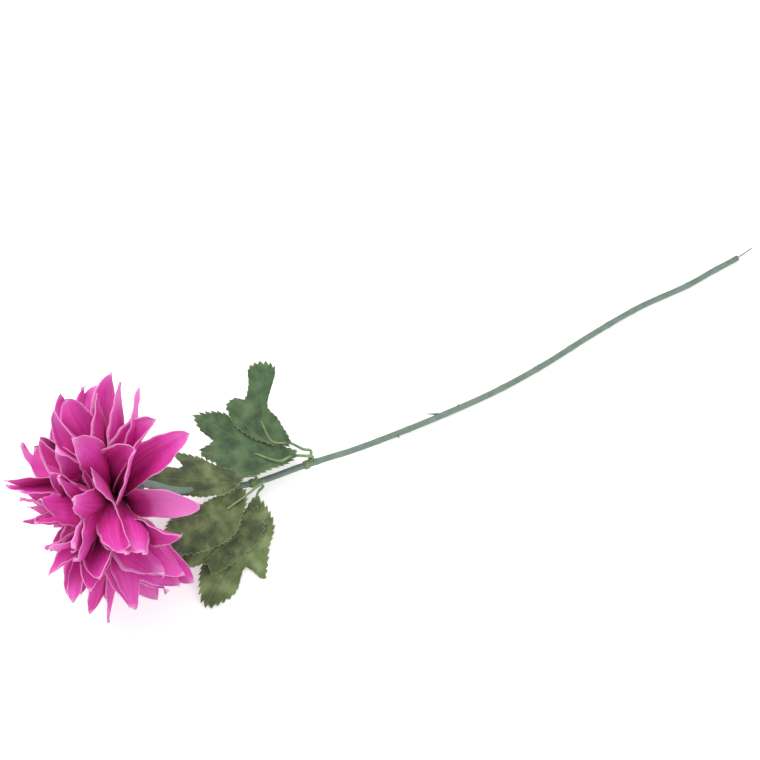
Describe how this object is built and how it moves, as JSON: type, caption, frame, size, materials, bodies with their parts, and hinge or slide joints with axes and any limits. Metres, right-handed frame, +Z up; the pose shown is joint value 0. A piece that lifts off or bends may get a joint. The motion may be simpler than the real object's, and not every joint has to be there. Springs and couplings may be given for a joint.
{
  "type": "artificial chrysanthemum flower",
  "caption": "Artificial chrysanthemum on a long wired stem, with a ball of magenta fabric petals and serrated leaves, lying on its side; decoration for a vase or a bouquet.",
  "frame": {"origin": "middle of the underside of the flower as it lies, on the surface", "axes": "+X along the stem from the bloom to the cut end, +Z up"},
  "size_m": [0.5866, 0.1552, 0.1548],
  "materials": {
    "petal_cloth": "printed polyester cloth, deep magenta at the foot to pale pink at the cut edge",
    "leaf_cloth": "printed green cloth with pressed veins",
    "stem_coat": "satin moulded plastic",
    "leaf_stalk": "satin moulded plastic",
    "cup": "satin moulded plastic",
    "post": "plain moulded plastic",
    "wire": "bare drawn wire"
  },
  "bodies": {
    "root": {"stem_wire": "wire", "stem_sheath": "stem_coat", "calyx": "cup", "head_post": "post", "petal_spacer_01": "post", "petal_spacer_02": "post", "petal_spacer_03": "post", "petal_spacer_04": "post", "petal_spacer_05": "post", "petal_spacer_06": "post", "petal_spacer_07": "post", "petal_spacer_08": "post", "petal_spacer_09": "post", "centre_cap": "petal_cloth", "petal_layer_01": "petal_cloth", "petal_layer_02": "petal_cloth", "petal_layer_03": "petal_cloth", "petal_layer_04": "petal_cloth", "petal_layer_05": "petal_cloth", "petal_layer_06": "petal_cloth", "petal_layer_07": "petal_cloth", "petal_layer_08": "petal_cloth", "petal_layer_09": "petal_cloth", "petal_layer_10": "petal_cloth", "upper_leaf_1": "leaf_cloth", "upper_leaf_2": "leaf_cloth", "lower_leaf_1": "leaf_cloth", "lower_leaf_2": "leaf_cloth", "lower_leaf_3": "leaf_cloth", "lower_leaf_4": "leaf_cloth", "upper_leaf_frame": "leaf_stalk", "lower_leaf_frame": "leaf_stalk"}
  },
  "joints": []
}
